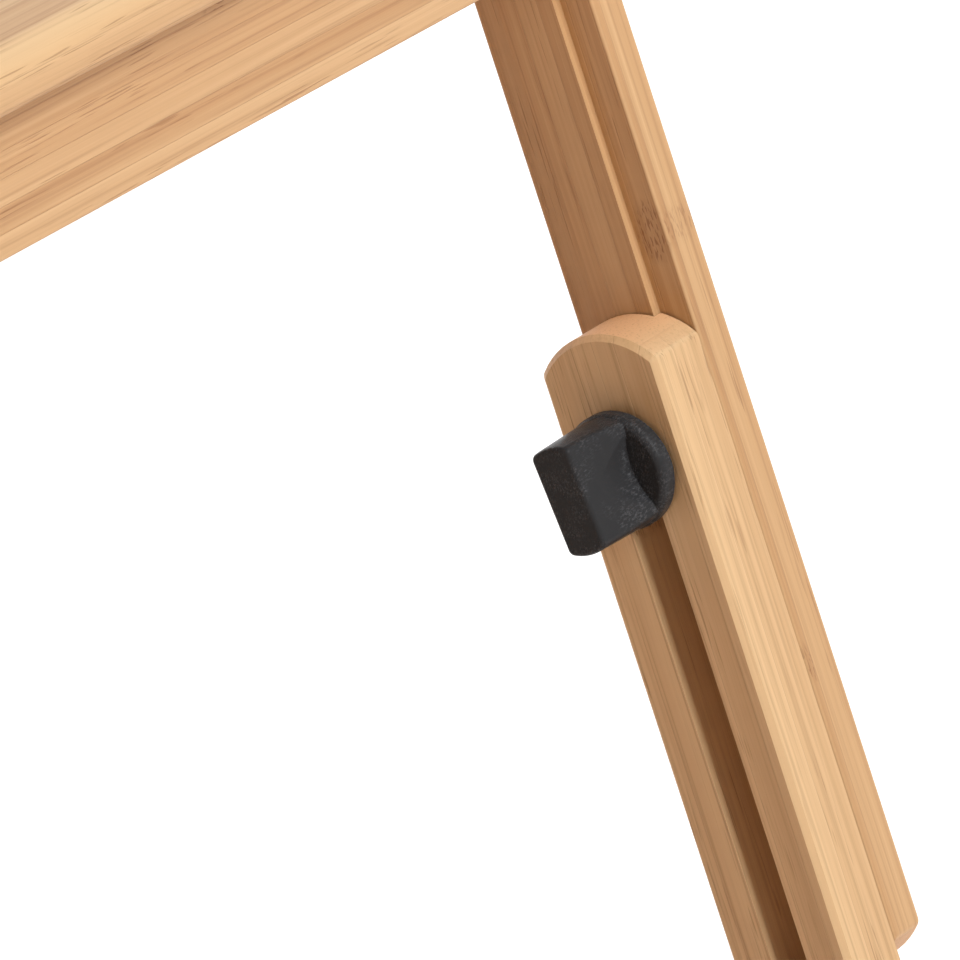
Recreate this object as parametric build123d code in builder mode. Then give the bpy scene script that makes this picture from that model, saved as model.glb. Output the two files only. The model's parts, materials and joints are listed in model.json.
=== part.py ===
from build123d import *
from math import cos, hypot, radians, sin, sqrt, tan
import os

os.makedirs("parts", exist_ok=True)

# Bamboo laptop bed table. +X runs along the table to the drawer end and -Y is the user's side.
# The floor is Z = 0.
# It stands with both leg pairs splayed and drawn to full length, the panel flat and the drawer shut.

# Top
top_length = 720.0
top_depth = 350.0
top_thickness = 11.0
table_height = 304.0
overhang = 8.0
long_border_width = 37.0
end_border_width = 24.0
corner_radius = 14.0
nose_radius = 5.0
under_radius = 3.0
divider_x = 145.0
divider_width = 15.0
edge_round = 1.0
board_ease = 0.5

# Aprons and rails under the top
apron_thickness = 12.0
apron_height = 28.0
apron_corner_radius = 4.0
rail_thickness = 12.0
rail_rise = 2.0
bay_knob_gap = 2.7
dowel_diameter = 6.0
dowel_sunk = 12.0
dowel_raised = 7.0
dowel_bay_spacing = 95.0
dowel_edge = 22.0
apron_dowel_shares = (-0.72, -0.26, 0.26, 0.72)

# Tilting panel and its prop
panel_gap = 1.5
tilt_limit = 34.0
tilt_pin_diameter = 4.0
tilt_pin_grip = 10.0
vent_length = 46.0
vent_width = 7.0
vent_columns = 5
vent_rows = 4
vent_pitch_x = 62.0
vent_pitch_y = 36.0
vent_centre_y = 30.0
ledge_length = 300.0
ledge_height = 8.0
ledge_depth = 8.0
ledge_setback = 13.0
ledge_screw_spacing = 120.0
prop_pivot_drop = 11.5
prop_surplus = 3.0
prop_arm_width = 10.0
prop_arm_height = 9.0
prop_arm_inset = 3.5
prop_block_width = 12.0
prop_block_depth = 26.0
prop_block_height = 12.0
prop_screw_offset = 8.0
prop_side_gap = 0.5
prop_bar_diameter = 6.0
prop_bar_gap = 1.0
notch_count = 5
notch_depth = 2.6
notch_gap = 0.3
rack_width = 16.0
rack_height = 14.0
rack_margin = 7.0
rack_post_depth = 12.0
rack_setback = 28.5
rack_screw_margin = 5.0

# Legs
splay = 20.0
leg_width = 25.0
leg_crown_radius = 16.5
leg_corner_round = 1.8
leg_edge_round = 0.9
leg_edge_bevel = 1.0
fold_gap = 0.6
upper_thickness = 8.4
tongue_width = 11.8
tongue_height = 2.0
tongue_setback = 2.5
lower_thickness = 13.4
slide_gap = 0.3
clamp_reach = 113.2
upper_tail = 99.1
lower_head = 23.4
slot_tail = 93.0
slot_gap = 0.75
pad_thickness = 2.0
pad_inset = 1.0
foot_bar_thickness = 9.0
foot_bar_width = 18.0
foot_bar_offset = 2.5
foot_bar_lift = 1.0
foot_bar_round = 2.0

# Bolts, knobs and screws
bolt_diameter = 6.0
running_gap = 0.08
washer_thickness = 1.0
washer_diameter = 13.0
hinge_head_diameter = 12.0
hinge_head_height = 2.5
hinge_head_round = 1.2
hinge_nut_width = 10.0
hinge_nut_height = 5.0
bolt_tip = 1.0
clamp_head_diameter = 14.0
clamp_head_height = 2.6
clamp_head_gap = 0.4
clamp_washer_diameter = 15.0
knob_diameter = 21.0
knob_disc_height = 3.5
knob_height = 17.2
knob_disc_round = 1.4
knob_base_round = 0.5
knob_turn = 5.0
grip_width = 8.3
grip_flare_width = 13.0
grip_end_inset = 0.3
grip_draft = 1.2
grip_sag = 0.5
grip_corner_round = 1.3
grip_top_round = 0.9
grip_scoop_stand = 0.25
grip_scoop_radius = 13.0
grip_scoop_round = 1.0
knob_nut_diameter = 7.6
knob_nut_height = 5.0
knob_bore_spare = 2.5
screw_diameter = 3.5
screw_head_diameter = 6.6
screw_head_height = 2.0
screw_length = 18.0
long_screw_length = 26.0

# Drawer
drawer_gap = 1.0
drawer_front_gap = 0.6
drawer_side_thickness = 8.0
drawer_bottom_thickness = 3.0
drawer_bottom_rise = 3.0
drawer_groove_depth = 3.0
drawer_rise = 2.0
drawer_drop = 2.5
runner_height = 5.0
runner_reach = 4.0
runner_gap = 0.5
runner_rise = 12.0
pull_diameter = 18.0
pull_neck_diameter = 9.0
pull_length = 15.0
pull_neck_length = 6.0
pull_round = 2.5
pull_screw_diameter = 4.0
pull_screw_head_diameter = 8.0
pull_screw_head_height = 2.0
pull_screw_grip = 9.0

# How far a cut runs past the face that it opens
overrun = 1.0

LEFT = -1
RIGHT = 1
FRONT = -1
BACK = 1
side_names = {LEFT: "left", RIGHT: "right"}
end_names = {FRONT: "front", BACK: "back"}

# Levels and outlines of the tray
top_underside = table_height - top_thickness
apron_bottom = top_underside - apron_height
end_x = top_length / 2
side_y = top_depth / 2
end_outer_x = end_x - overhang
end_inner_x = end_outer_x - apron_thickness
side_outer_y = side_y - overhang
side_inner_y = side_outer_y - apron_thickness
opening_x = end_x - end_border_width
opening_y = side_y - long_border_width
divider_end_x = divider_x + divider_width
rail_bottom = apron_bottom + rail_rise
bay_inner_x = divider_x + rail_thickness

# The leg hinge stands in from the end apron so that the splayed leg stops against the apron's lower edge
lean = radians(splay)
half_leg = leg_width / 2
hinge_z = apron_bottom + apron_height / 2
hinge_fall = hinge_z - apron_bottom
hinge_x = end_inner_x - fold_gap - half_leg * cos(lean) - (hinge_fall + half_leg * sin(lean)) * tan(lean)

# Faces across the leg, from the long apron inwards
upper_outer_y = side_inner_y - washer_thickness
shoulder_y = upper_outer_y - upper_thickness
tongue_y = shoulder_y - tongue_height
lip_y = shoulder_y - slide_gap
groove_y = lip_y - tongue_height
lower_inner_y = lip_y - lower_thickness
knob_base_y = lower_inner_y - washer_thickness

# The drawer bay's rails keep clear of the knobs, which pass them when the legs fold
bay_outer_y = knob_base_y - knob_height - bay_knob_gap
bay_half_width = bay_outer_y - rail_thickness

# Stations along the leg from the hinge
upper_reach = clamp_reach + upper_tail
lower_top = clamp_reach - lower_head
slot_width = bolt_diameter + 2 * slot_gap
crown_drop = leg_crown_radius - sqrt(leg_crown_radius**2 - half_leg**2)

# The panel turns about pins at half its thickness, near its front edge
panel_left_x = -opening_x + panel_gap
panel_right_x = divider_x - panel_gap
panel_front_y = panel_gap - opening_y
panel_back_y = opening_y - panel_gap
panel_centre_x = (panel_left_x + panel_right_x) / 2
tilt_y = panel_front_y + top_thickness / 2
tilt_z = top_underside + top_thickness / 2

# The prop is as long as its pivot is far from the panel's hinge, so it turns twice as far as the panel
# and its bar runs level along the racks, whose posts stand in from the panel's back edge
post_back_y = panel_back_y - rack_setback
post_front_y = post_back_y - rack_post_depth
bar_y = post_front_y - prop_bar_gap - prop_bar_diameter / 2
prop_pivot_reach = (bar_y - prop_surplus - tilt_y) / 2
prop_length = prop_pivot_reach + prop_surplus
prop_y = tilt_y + prop_pivot_reach
prop_z = tilt_z - prop_pivot_drop
bar_dip = hypot(prop_pivot_drop, prop_surplus) - prop_pivot_drop
rack_top = prop_z - prop_bar_diameter / 2 - bar_dip - notch_gap
rack_bottom = rack_top - rack_height
steepest = radians(tilt_limit)
bar_end_y = tilt_y + (prop_pivot_reach + prop_length) * cos(steepest) + prop_pivot_drop * sin(steepest)
notch_pitch = (bar_y - bar_end_y) / (notch_count - 1)
rack_front_y = bar_end_y - rack_margin
rack_faces_x = {LEFT: rack_width - end_inner_x, RIGHT: divider_x - rack_width}

# Drawer box
drawer_bottom_z = apron_bottom + drawer_rise
drawer_top_z = top_underside - drawer_drop
drawer_outer_y = bay_half_width - drawer_gap
drawer_inner_y = drawer_outer_y - drawer_side_thickness
drawer_back_x = bay_inner_x + drawer_gap
drawer_floor_z = drawer_bottom_z + drawer_bottom_rise
runner_z = apron_bottom + runner_rise
pull_z = (apron_bottom + top_underside) / 2


def slab(x, y, z, mode=Mode.ADD):
    """Block between pairs of X, Y and Z limits, in the part that is being built."""
    with BuildSketch(Plane.XY.offset(z[0])) as face:
        with Locations(((x[0] + x[1]) / 2, (y[0] + y[1]) / 2)):
            Rectangle(x[1] - x[0], y[1] - y[0])
    extrude(face.sketch, amount=z[1] - z[0], mode=mode)


def turned(plane, profile, mode=Mode.ADD):
    """Solid of revolution about the plane's X axis, from a half profile of (along, radius) points."""
    with BuildSketch(plane) as half:
        with BuildLine():
            Polyline(*profile, close=True)
        make_face()
    revolve(half.sketch, axis=Axis(plane.origin, plane.x_dir), mode=mode)


def rod(plane, diameter, length, mode=Mode.ADD):
    """Round bar that starts on the plane and runs along its X axis."""
    turned(plane, [(0, 0), (0, diameter / 2), (length, diameter / 2), (length, 0)], mode)


def screw(plane, length, mode=Mode.ADD):
    """Countersunk wood screw, its flat head on the plane and its shank along the plane's X axis."""
    head = screw_head_diameter / 2
    shank = screw_diameter / 2
    profile = [(0, 0), (0, head), (screw_head_height, shank), (length - shank, shank), (length, 0)]
    turned(plane, profile, mode)


def axis_plane(origin, direction):
    """Plane whose X axis points along a direction."""
    flat = (0, 0, 1) if direction[2] == 0 else (0, 1, 0)
    return Plane(origin=origin, x_dir=direction, z_dir=flat)


def leg_plane(side, end, y, station=0):
    """Plane across a leg: X runs down the leg from the hinge, Z points to the middle of the table."""
    x = side * (hinge_x + station * sin(lean))
    z = hinge_z - station * cos(lean)
    return Plane(origin=(x, end * y, z), x_dir=(side * sin(lean), 0, -cos(lean)), z_dir=(0, -end, 0))


def foot_reach(offset):
    """Distance from the hinge to the foot's cut, at an offset to the outer side of the leg."""
    return (hinge_z - pad_thickness + offset * sin(lean)) / cos(lean)


foot_bar_end = foot_reach(foot_bar_offset - foot_bar_thickness / 2) - foot_bar_lift
foot_bar_station = foot_bar_end - foot_bar_width / 2


def save(piece, name):
    """Labels a finished piece and writes it as its own file."""
    piece.part.label = name
    export_step(piece.part, f"parts/{name}.step")


# Dowels that join the top to the aprons and rails, and the aprons to each other at the corners
apron_mid_x = (end_outer_x + end_inner_x) / 2
apron_mid_y = (side_outer_y + side_inner_y) / 2
stub_dowel_y = bay_half_width + dowel_edge
bay_dowel_xs = [bay_inner_x + dowel_edge + step * dowel_bay_spacing for step in range(2)]
rail_mid_y = bay_half_width + rail_thickness / 2
corner_spots = [(side, end) for side in side_names for end in end_names]
upright_spots = [(side * apron_mid_x, end * stub_dowel_y) for side, end in corner_spots]
for end in end_names:
    upright_spots += [(end_outer_x * share, end * apron_mid_y) for share in apron_dowel_shares]
    upright_spots += [(x, end * rail_mid_y) for x in bay_dowel_xs]
    upright_spots.append((divider_x + rail_thickness / 2, end * bay_half_width / 2))


def dowels(mode=Mode.ADD):
    """Every dowel of the tray, as wood or as the holes for it."""
    length = dowel_sunk + dowel_raised
    for x, y in upright_spots:
        rod(axis_plane((x, y, top_underside - dowel_sunk), (0, 0, 1)), dowel_diameter, length, mode)
    for side, end in corner_spots:
        start = (side * apron_mid_x, end * (side_inner_y - dowel_sunk), hinge_z)
        rod(axis_plane(start, (0, end, 0)), dowel_diameter, length, mode)


def hinge_bores(mode=Mode.SUBTRACT):
    """Holes for the leg hinge bolts through the long aprons."""
    for side, end in corner_spots:
        start = (side * hinge_x, end * (side_inner_y - overrun), hinge_z)
        rod(axis_plane(start, (0, end, 0)), bolt_diameter, apron_thickness + 2 * overrun, mode)


def tilt_pins(diameter, mode=Mode.ADD):
    """The two pins that the panel turns on, or bores for them."""
    length = 2 * tilt_pin_grip + panel_gap
    rod(axis_plane((panel_left_x + tilt_pin_grip, tilt_y, tilt_z), (-1, 0, 0)), diameter, length, mode)
    rod(axis_plane((panel_right_x - tilt_pin_grip, tilt_y, tilt_z), (1, 0, 0)), diameter, length, mode)


def rack_screw_planes():
    """Places of the screws that hold the racks to the left apron and the divider rail."""
    z = rack_bottom + rack_screw_margin
    for side, x in rack_faces_x.items():
        for y in (rack_front_y + rack_screw_margin, post_back_y - rack_screw_margin):
            yield axis_plane((x, y, z), (side, 0, 0))


def rack_screws(mode=Mode.ADD):
    """The four rack screws, or their holes."""
    for plane in rack_screw_planes():
        screw(plane, long_screw_length, mode)


# Borders of the top: the long ones run through at the corners and carry the rounded corners
for end in end_names:
    with BuildPart() as border:
        with BuildSketch(Plane.XY.offset(top_underside)) as outline:
            with Locations((0, end * (side_y + opening_y) / 2)):
                Rectangle(top_length, long_border_width)
            fillet(outline.vertices().sort_by(Axis.Y, reverse=end == BACK)[:2], corner_radius)
        extrude(amount=top_thickness)
        rim = border.edges().filter_by(lambda edge: abs(edge.center().Y) > opening_y + edge_round)
        fillet(rim.group_by(Axis.Z)[-1], nose_radius)
        fillet(rim.group_by(Axis.Z)[0], under_radius)
        upper = border.edges().filter_by(Axis.X).group_by(Axis.Z)[-1]
        fillet(upper.sort_by(Axis.Y, reverse=end == FRONT)[0], board_ease)
        dowels(Mode.SUBTRACT)
    save(border, f"{end_names[end]}_border")

for side in side_names:
    with BuildPart() as border:
        slab(sorted((side * end_x, side * opening_x)), (-opening_y, opening_y), (top_underside, table_height))
        rim = border.edges().filter_by(Axis.Y).group_by(Axis.X)[0 if side == LEFT else -1].sort_by(Axis.Z)
        fillet(rim[-1], nose_radius)
        fillet(rim[0], under_radius)
        upper = border.edges().filter_by(Axis.Y).group_by(Axis.Z)[-1]
        fillet(upper.sort_by(Axis.X, reverse=side == LEFT)[0], board_ease)
        dowels(Mode.SUBTRACT)
        tilt_pins(tilt_pin_diameter, Mode.SUBTRACT)
    save(border, f"{side_names[side]}_border")

with BuildPart() as divider_strip:
    slab((divider_x, divider_end_x), (-opening_y, opening_y), (top_underside, table_height))
    fillet(divider_strip.edges().filter_by(Axis.Y).group_by(Axis.Z)[-1], board_ease)
    dowels(Mode.SUBTRACT)
    tilt_pins(tilt_pin_diameter, Mode.SUBTRACT)
save(divider_strip, "divider_strip")

with BuildPart() as fixed_panel:
    slab((divider_end_x, opening_x), (-opening_y, opening_y), (top_underside, table_height))
    fillet(fixed_panel.edges().group_by(Axis.Z)[-1], board_ease)
    dowels(Mode.SUBTRACT)
save(fixed_panel, "fixed_panel")

# Aprons
for end in end_names:
    with BuildPart() as apron:
        with BuildSketch(Plane.XY.offset(apron_bottom)) as outline:
            with Locations((0, end * apron_mid_y)):
                Rectangle(2 * end_outer_x, apron_thickness)
            fillet(outline.vertices().sort_by(Axis.Y, reverse=end == BACK)[:2], apron_corner_radius)
        extrude(amount=apron_height)
        fillet(apron.edges().filter_by(Axis.X).group_by(Axis.Z)[0], edge_round)
        dowels(Mode.SUBTRACT)
        hinge_bores()
    save(apron, f"{end_names[end]}_apron")

with BuildPart() as left_apron:
    slab((-end_outer_x, -end_inner_x), (-side_inner_y, side_inner_y), (apron_bottom, top_underside))
    fillet(left_apron.edges().filter_by(Axis.Y).group_by(Axis.Z)[0], edge_round)
    dowels(Mode.SUBTRACT)
    rack_screws(Mode.SUBTRACT)
save(left_apron, "left_apron")

for end in end_names:
    with BuildPart() as stub:
        reach = sorted((end * bay_half_width, end * side_inner_y))
        slab((end_inner_x, end_outer_x), reach, (apron_bottom, top_underside))
        fillet(stub.edges().filter_by(Axis.Y).group_by(Axis.Z)[0], edge_round)
        dowels(Mode.SUBTRACT)
    save(stub, f"right_apron_{end_names[end]}")

# Rails of the drawer bay
with BuildPart() as divider_rail:
    slab((divider_x, bay_inner_x), (-bay_outer_y, bay_outer_y), (rail_bottom, top_underside))
    fillet(divider_rail.edges().filter_by(Axis.Y).group_by(Axis.Z)[0], edge_round)
    dowels(Mode.SUBTRACT)
    rack_screws(Mode.SUBTRACT)
save(divider_rail, "divider_rail")

with BuildPart() as drawer_rails:
    for end in end_names:
        reach = sorted((end * bay_half_width, end * bay_outer_y))
        slab((bay_inner_x, end_inner_x), reach, (rail_bottom, top_underside))
    fillet(drawer_rails.edges().filter_by(Axis.X).group_by(Axis.Z)[0], edge_round)
    dowels(Mode.SUBTRACT)
save(drawer_rails, "drawer_rails")

with BuildPart() as drawer_runners:
    for end in end_names:
        reach = sorted((end * bay_half_width, end * (bay_half_width - runner_reach)))
        slab((bay_inner_x, end_inner_x), reach, (runner_z, runner_z + runner_height))
save(drawer_runners, "drawer_runners")

with BuildPart() as tray_dowels:
    dowels()
save(tray_dowels, "tray_dowels")

# Racks that hold the prop's bar; the post at the back of each carries the panel when it lies flat
with BuildPart() as tilt_racks:
    for side, face_x in rack_faces_x.items():
        with BuildSketch(Plane.YZ.offset(min(face_x, face_x + side * rack_width))) as profile:
            with BuildLine():
                Polyline(
                    (rack_front_y, rack_bottom),
                    (post_back_y, rack_bottom),
                    (post_back_y, top_underside),
                    (post_front_y, top_underside),
                    (post_front_y, rack_top),
                    (rack_front_y, rack_top),
                    close=True,
                )
            make_face()
            notch_radius = prop_bar_diameter / 2 + notch_gap
            for step in range(notch_count):
                with Locations((bar_end_y + step * notch_pitch, rack_top + notch_radius - notch_depth)):
                    Circle(notch_radius, mode=Mode.SUBTRACT)
        extrude(profile.sketch, amount=rack_width)
    rack_screws(Mode.SUBTRACT)
save(tilt_racks, "tilt_racks")

with BuildPart() as rack_screw_set:
    rack_screws()
save(rack_screw_set, "rack_screws")

with BuildPart() as tilt_hinge_pins:
    tilt_pins(tilt_pin_diameter)
save(tilt_hinge_pins, "tilt_hinge_pins")

# Leg hinges: a bolt through the long apron and the upper leg, with a washer on each side of the leg
hinge_shank = side_outer_y - tongue_y + washer_thickness + hinge_nut_height + bolt_tip
with BuildPart() as leg_hinge_bolts:
    for side, end in corner_spots:
        plane = axis_plane((side * hinge_x, end * (side_outer_y + hinge_head_height), hinge_z), (0, -end, 0))
        head = hinge_head_diameter / 2
        shank = bolt_diameter / 2
        profile = [
            (0, 0),
            (0, head - hinge_head_round),
            (hinge_head_round, head),
            (hinge_head_height, head),
            (hinge_head_height, shank),
            (hinge_head_height + hinge_shank, shank),
            (hinge_head_height + hinge_shank, 0),
        ]
        turned(plane, profile)
save(leg_hinge_bolts, "leg_hinge_bolts")

with BuildPart() as leg_hinge_washers:
    for side, end in corner_spots:
        for y in (side_inner_y, tongue_y):
            with BuildSketch(leg_plane(side, end, y)) as ring:
                Circle(washer_diameter / 2)
                Circle(bolt_diameter / 2, mode=Mode.SUBTRACT)
            extrude(ring.sketch, amount=washer_thickness)
save(leg_hinge_washers, "leg_hinge_washers")

with BuildPart() as leg_hinge_nuts:
    for side, end in corner_spots:
        with BuildSketch(leg_plane(side, end, tongue_y - washer_thickness)) as ring:
            RegularPolygon(hinge_nut_width / 2, 6, major_radius=False)
            Circle(bolt_diameter / 2, mode=Mode.SUBTRACT)
        extrude(ring.sketch, amount=hinge_nut_height)
save(leg_hinge_nuts, "leg_hinge_nuts")

# Upper legs: a flat bar with a tongue along its inner face
for side, end in corner_spots:
    with BuildPart() as upper_leg:
        with BuildSketch(leg_plane(side, end, upper_outer_y)) as outline:
            shoulder = upper_reach - crown_drop
            with BuildLine():
                ThreePointArc((shoulder, -half_leg), (upper_reach, 0), (shoulder, half_leg))
                Polyline((shoulder, half_leg), (0, half_leg), (0, -half_leg), (shoulder, -half_leg))
            make_face()
            fillet(outline.vertices().group_by(Axis.X)[-1], leg_corner_round)
            Circle(half_leg)
        extrude(amount=upper_thickness)
        fillet(upper_leg.faces().filter_by(Axis.Y).edges(), leg_edge_round)
        with BuildSketch(leg_plane(side, end, shoulder_y)) as tongue:
            with Locations(((upper_reach - tongue_setback) / 2, 0)):
                Rectangle(upper_reach - tongue_setback, tongue_width)
            fillet(tongue.vertices().group_by(Axis.X)[-1], leg_edge_round)
            Circle(tongue_width / 2)
        extrude(amount=tongue_height)
        with BuildSketch(leg_plane(side, end, upper_outer_y)):
            Circle(bolt_diameter / 2 + running_gap)
            with Locations((clamp_reach, 0)):
                Circle(bolt_diameter / 2)
        extrude(amount=upper_thickness + tongue_height, mode=Mode.SUBTRACT)
        with BuildSketch(leg_plane(side, end, upper_outer_y, clamp_reach)):
            Circle(clamp_head_diameter / 2 + clamp_head_gap)
        extrude(amount=clamp_head_height + clamp_head_gap, mode=Mode.SUBTRACT)
    save(upper_leg, f"{side_names[side]}_{end_names[end]}_upper_leg")

# Lower legs: grooved behind to ride on the tongue, slotted for the clamp bolt, cut level at the foot
for side, end in corner_spots:
    with BuildPart() as lower_leg:
        outward = side * end * half_leg
        with BuildSketch(leg_plane(side, end, lip_y)) as outline:
            shoulder = lower_top + crown_drop
            with BuildLine():
                ThreePointArc((shoulder, -outward), (lower_top, 0), (shoulder, outward))
                Polyline(
                    (shoulder, outward),
                    (foot_reach(half_leg), outward),
                    (foot_reach(-half_leg), -outward),
                    (shoulder, -outward),
                )
            make_face()
            fillet(outline.vertices().group_by(Axis.X)[0], leg_corner_round)
        extrude(amount=lower_thickness)
        chamfer(lower_leg.faces().sort_by(Axis.Y)[0 if end == BACK else -1].edges(), leg_edge_bevel)
        with BuildSketch(leg_plane(side, end, lip_y)):
            with Locations(((lower_top + foot_reach(half_leg)) / 2, 0)):
                Rectangle(foot_reach(half_leg) - lower_top + 2 * overrun, tongue_width + 2 * slide_gap)
        extrude(amount=tongue_height, mode=Mode.SUBTRACT)
        with BuildSketch(leg_plane(side, end, lip_y)):
            with Locations((clamp_reach + slot_tail / 2, 0)):
                SlotCenterToCenter(slot_tail, slot_width)
        extrude(amount=lower_thickness, mode=Mode.SUBTRACT)
        heel = leg_plane(side, end, groove_y, foot_bar_station)
        seat = heel.origin + heel.y_dir * side * end * foot_bar_offset
        screw(axis_plane(seat, (0, -end, 0)), long_screw_length, Mode.SUBTRACT)
    save(lower_leg, f"{side_names[side]}_{end_names[end]}_lower_leg")

# What joins and stands under each pair of lower legs
for side in side_names:
    heels = {end: leg_plane(side, end, groove_y, foot_bar_station) for end in end_names}
    seats = [
        axis_plane(heel.origin + heel.y_dir * side * end * foot_bar_offset, (0, -end, 0))
        for end, heel in heels.items()
    ]
    with BuildPart() as foot_bar:
        with BuildSketch(leg_plane(side, FRONT, lower_inner_y, foot_bar_station)):
            with Locations((0, side * FRONT * foot_bar_offset)):
                RectangleRounded(foot_bar_width, foot_bar_thickness, foot_bar_round)
        extrude(amount=2 * lower_inner_y)
        for seat in seats:
            screw(seat, long_screw_length, Mode.SUBTRACT)
    save(foot_bar, f"{side_names[side]}_foot_bar")

    with BuildPart() as foot_bar_screws:
        for seat in seats:
            screw(seat, long_screw_length)
    save(foot_bar_screws, f"{side_names[side]}_foot_bar_screws")

    with BuildPart() as foot_pads:
        with BuildSketch(Plane.XY):
            for end in end_names:
                foot_x = side * (hinge_x + (hinge_z - pad_thickness) * tan(lean))
                with Locations((foot_x, end * (lip_y + lower_inner_y) / 2)):
                    RectangleRounded(
                        leg_width / cos(lean) - 2 * pad_inset, lower_thickness - 2 * pad_inset, 2 * pad_inset
                    )
        extrude(amount=pad_thickness)
    save(foot_pads, f"{side_names[side]}_foot_pads")

# Clamps: a flat-headed bolt let into the upper leg, a washer on the lower leg, and a wing knob on the bolt
clamp_length = upper_outer_y - clamp_head_gap - knob_base_y + knob_nut_height + bolt_tip
for side in side_names:
    with BuildPart() as clamp_bolts:
        for end in end_names:
            seat = leg_plane(side, end, upper_outer_y - clamp_head_gap, clamp_reach)
            head = clamp_head_diameter / 2
            shank = bolt_diameter / 2
            profile = [
                (0, 0),
                (0, head),
                (clamp_head_height, head),
                (clamp_head_height, shank),
                (clamp_length, shank),
                (clamp_length, 0),
            ]
            turned(axis_plane(seat.origin, (0, -end, 0)), profile)
    save(clamp_bolts, f"{side_names[side]}_clamp_bolts")

    with BuildPart() as clamp_washers:
        for end in end_names:
            with BuildSketch(leg_plane(side, end, lower_inner_y, clamp_reach)) as ring:
                Circle(clamp_washer_diameter / 2)
                Circle(bolt_diameter / 2, mode=Mode.SUBTRACT)
            extrude(ring.sketch, amount=washer_thickness)
    save(clamp_washers, f"{side_names[side]}_clamp_washers")

# Wing knob, made once and then set on each clamp: a disc with a flared grip whose ends follow the disc
# and whose sides are scooped for the fingers, bored for its insert
with BuildPart() as knob_disc:
    with BuildSketch():
        Circle(knob_diameter / 2)
    extrude(amount=knob_disc_height)
    fillet(knob_disc.edges().group_by(Axis.Z)[-1], knob_disc_round)
    fillet(knob_disc.edges().group_by(Axis.Z)[0], knob_base_round)

with BuildPart() as knob_form:
    with BuildSketch(Plane.YZ):
        wide = grip_flare_width / 2
        narrow = grip_width / 2
        root = knob_disc_height / 2
        waist = (wide + narrow) / 2 - grip_sag
        middle = (root + knob_height) / 2
        with BuildLine():
            Line((-wide, root), (wide, root))
            ThreePointArc((wide, root), (waist, middle), (narrow, knob_height))
            Line((narrow, knob_height), (-narrow, knob_height))
            ThreePointArc((-narrow, knob_height), (-waist, middle), (-wide, root))
        make_face()
    extrude(amount=knob_diameter / 2, both=True)
    with BuildSketch():
        Circle(knob_diameter / 2 - grip_end_inset)
    extrude(amount=knob_height, taper=grip_draft, mode=Mode.INTERSECT)
    fillet(knob_form.edges().filter_by(GeomType.BSPLINE), grip_corner_round)
    fillet(knob_form.faces().sort_by(Axis.Z)[-1].edges(), grip_top_round)
    with BuildSketch():
        scoop_y = narrow + grip_scoop_stand + grip_scoop_radius
        with Locations((0, scoop_y), (0, -scoop_y)):
            Circle(grip_scoop_radius)
    extrude(amount=knob_height, mode=Mode.SUBTRACT)
    fillet(knob_form.edges().filter_by(GeomType.BSPLINE).sort_by(SortBy.LENGTH)[-2:], grip_scoop_round)
    add(knob_disc.part)
    with BuildSketch():
        Circle(knob_nut_diameter / 2)
    extrude(amount=knob_nut_height, mode=Mode.SUBTRACT)
    with BuildSketch():
        Circle(bolt_diameter / 2 + running_gap)
    extrude(amount=knob_nut_height + bolt_tip + knob_bore_spare, mode=Mode.SUBTRACT)

for side, end in corner_spots:
    base = leg_plane(side, end, knob_base_y, clamp_reach)
    with BuildPart() as knob:
        with Locations(base.location * Rotation(0, 0, knob_turn)):
            add(knob_form.part)
    save(knob, f"{side_names[side]}_{end_names[end]}_knob")

    with BuildPart() as knob_nut:
        with BuildSketch(base):
            Circle(knob_nut_diameter / 2)
            Circle(bolt_diameter / 2 + running_gap, mode=Mode.SUBTRACT)
        extrude(amount=knob_nut_height)
    save(knob_nut, f"{side_names[side]}_{end_names[end]}_knob_nut")

# Tilting panel, with the laptop ledge on top and the prop's blocks below
ledge_y = panel_front_y + ledge_setback + ledge_depth / 2
ledge_xs = [panel_centre_x + step * ledge_screw_spacing for step in (-1, 0, 1)]
arm_spans = {}
block_spans = {}
for side, face_x in rack_faces_x.items():
    arm_outer = face_x - side * prop_arm_inset
    arm_inner = arm_outer - side * prop_arm_width
    block_outer = arm_inner - side * prop_side_gap
    arm_spans[side] = sorted((arm_outer, arm_inner))
    block_spans[side] = sorted((block_outer, block_outer - side * prop_block_width))


def panel_screws(mode=Mode.ADD):
    """Screws from below that hold the ledge and the prop's blocks to the panel, or their holes."""
    for x in ledge_xs:
        screw(axis_plane((x, ledge_y, top_underside), (0, 0, 1)), screw_length, mode)
    for span in block_spans.values():
        for y in (prop_y - prop_screw_offset, prop_y + prop_screw_offset):
            middle = (sum(span) / 2, y, top_underside - prop_block_height)
            screw(axis_plane(middle, (0, 0, 1)), screw_length, mode)


def prop_pins(diameter, mode=Mode.ADD):
    """Pins that carry the prop's arms on the blocks, or bores for them."""
    for side, span in block_spans.items():
        start = span[0] if side == RIGHT else span[1]
        length = prop_block_width + prop_side_gap + prop_arm_width
        rod(axis_plane((start, prop_y, prop_z), (side, 0, 0)), diameter, length, mode)


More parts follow.
